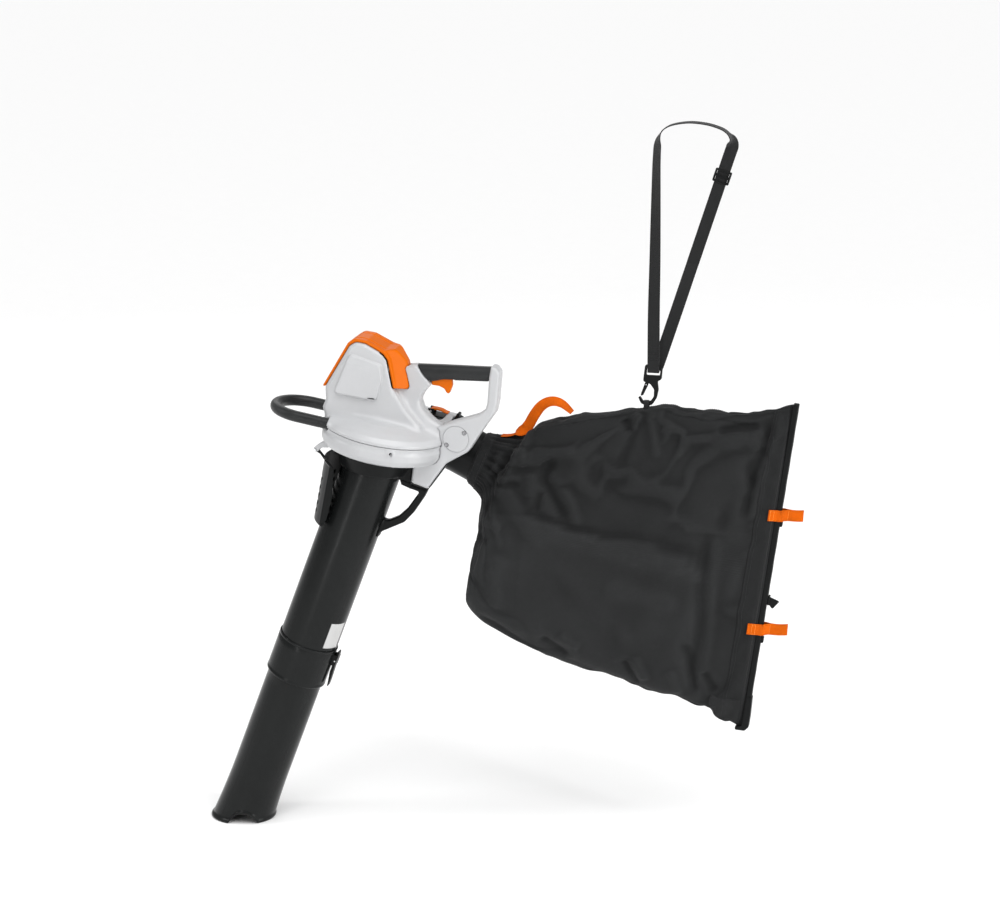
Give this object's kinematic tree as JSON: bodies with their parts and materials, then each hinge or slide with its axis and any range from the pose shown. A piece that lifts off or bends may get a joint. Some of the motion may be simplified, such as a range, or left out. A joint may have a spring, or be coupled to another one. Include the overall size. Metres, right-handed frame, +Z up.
{
  "type": "leaf vacuum mulcher",
  "caption": "Hand-held battery leaf vacuum and shredder with suction tube, rear D-handle, front loop handle, side outlet duct, fabric collecting bag and shoulder strap.",
  "frame": {"origin": "middle of the rear grip, on the machine's middle plane", "axes": "+Z up as the machine is held, +X backwards towards the bag, +Y across to the bag side; the fan axis leans 10 degrees and the suction tube 20.5 degrees about +Y"},
  "size_m": [1.2814, 0.2971, 1.5507],
  "materials": {
    "housing_white": "satin moulded",
    "black_plastic": "satin moulded",
    "orange_plastic": "satin moulded",
    "grip_rubber": "soft matt",
    "bag_fabric": "woven polyester",
    "webbing_black": "woven webbing",
    "webbing_orange": "woven webbing",
    "fan_plastic": "glass filled",
    "steel": "machined",
    "motor_steel": "coated",
    "copper_windings": "lacquered",
    "board_green": "solder mask",
    "battery_shell": "satin moulded",
    "label_white": "blank film",
    "screw_steel": "zinc plated"
  },
  "bodies": {
    "machine": {"volute_lower": "housing_white", "housing_near": "housing_white", "housing_far": "housing_white", "rear_grip": "grip_rubber", "handle_frame_near": "housing_white", "handle_frame_far": "housing_white", "handle_spine": "black_plastic", "hood": "orange_plastic", "loop_handle": "grip_rubber", "motor_bulkhead": "black_plastic", "motor_can": "motor_steel", "motor_stator": "copper_windings", "upper_bearing": "steel", "lower_bearing": "steel", "controller_board": "board_green", "battery_contacts": "copper_windings", "trigger_pin": "steel", "switch_block": "black_plastic", "trigger_spring": "steel", "side_cover": "housing_white", "cover_screws": "screw_steel", "seam_screws": "screw_steel", "outlet_latch_base": "black_plastic", "outlet_latch_pin": "steel", "screen_pin": "steel"},
    "fan": {"motor_rotor": "motor_steel", "fan_shaft": "steel", "impeller": "fan_plastic", "shredder_blade": "steel", "blade_nut": "steel"},
    "battery": {"battery_pack": "battery_shell", "battery_latch_pin": "steel"},
    "battery_latch": {"battery_latch": "black_plastic"},
    "trigger": {"trigger": "orange_plastic"},
    "outlet_latch": {"outlet_latch": "orange_plastic"},
    "intake_screen": {"intake_screen": "black_plastic"},
    "upper_tube": {"suction_tube_upper": "black_plastic", "tube_bow": "black_plastic", "blank_label": "label_white"},
    "lower_tube": {"suction_tube_lower": "black_plastic", "tube_latch_pin": "steel"},
    "tube_latch": {"tube_latch": "black_plastic"},
    "collector": {"discharge_duct": "black_plastic", "bag_near_panel": "bag_fabric", "bag_far_panel": "bag_fabric", "bag_rail": "black_plastic", "edge_tab_upper": "webbing_orange", "edge_tab_lower": "webbing_orange", "grab_loop": "webbing_orange", "bag_hang_loop": "webbing_black"},
    "zip_slider": {"zip_slider": "black_plastic"},
    "strap": {"strap_front": "webbing_black", "strap_rear": "webbing_black", "strap_top": "webbing_black", "strap_hook": "black_plastic", "hook_gate_pin": "steel"},
    "strap_slider": {"strap_slider": "black_plastic"},
    "hook_gate": {"hook_gate": "black_plastic"}
  },
  "joints": [
    {"name": "fan_spin", "type": "hinge", "parent": "machine", "child": "fan", "pos_m": [-0.167, 0, -0.141], "axis": [0.1736, 0, 0.9848], "continuous": true},
    {"name": "battery_slide", "type": "slide", "parent": "machine", "child": "battery", "axis": [0, 1, 0], "range_m": [0, 0.115]},
    {"name": "battery_latch_press", "type": "hinge", "parent": "battery", "child": "battery_latch", "pos_m": [-0.19639, 0.0544, 0.02056], "axis": [0.9848, 0, -0.1736], "range_deg": [0, 8], "stiffness_Nm_per_rad": 0.05, "springref_deg": -5.73},
    {"name": "trigger_pull", "type": "hinge", "parent": "machine", "child": "trigger", "pos_m": [-0.057, 0, -0.014], "axis": [0, -1, 0], "range_deg": [0, 12], "stiffness_Nm_per_rad": 0.25, "springref_deg": -8.59},
    {"name": "outlet_latch_lift", "type": "hinge", "parent": "machine", "child": "outlet_latch", "pos_m": [-0.08162, 0.076, -0.10021], "axis": [0, -1, 0], "range_deg": [0, 55]},
    {"name": "intake_screen_swing", "type": "hinge", "parent": "machine", "child": "intake_screen", "pos_m": [-0.30539, 0, -0.17143], "axis": [0, 1, 0], "range_deg": [0, 50]},
    {"name": "suction_tube_pull", "type": "slide", "parent": "machine", "child": "upper_tube", "axis": [-0.3502, 0, -0.9367], "range_m": [0, 0.03]},
    {"name": "lower_tube_pull", "type": "slide", "parent": "upper_tube", "child": "lower_tube", "axis": [-0.3502, 0, -0.9367], "range_m": [0, 0.03]},
    {"name": "tube_latch_press", "type": "hinge", "parent": "lower_tube", "child": "tube_latch", "pos_m": [-0.2794, 0, -0.64844], "axis": [0, -1, 0], "range_deg": [0, 5], "stiffness_Nm_per_rad": 0.3, "springref_deg": -8.59},
    {"name": "collector_pull", "type": "slide", "parent": "machine", "child": "collector", "axis": [0.8949, 0, -0.4462], "range_m": [0, 0.1]},
    {"name": "zip_pull", "type": "slide", "parent": "collector", "child": "zip_slider", "axis": [0.1309, 0, 0.9914], "range_m": [-0.03, 0.15]},
    {"name": "strap_swing", "type": "hinge", "parent": "collector", "child": "strap", "pos_m": [0.38, 0.076, -0.048], "axis": [0, 1, 0], "range_deg": [-50, 50]},
    {"name": "strap_adjust", "type": "slide", "parent": "strap", "child": "strap_slider", "axis": [0.3021, 0, 0.9533], "range_m": [-0.12, 0.035]},
    {"name": "hook_gate_press", "type": "hinge", "parent": "strap", "child": "hook_gate", "pos_m": [0.378, 0.076, -0.0215], "axis": [0, -1, 0], "range_deg": [0, 25], "stiffness_Nm_per_rad": 0.03, "springref_deg": -11.46}
  ]
}
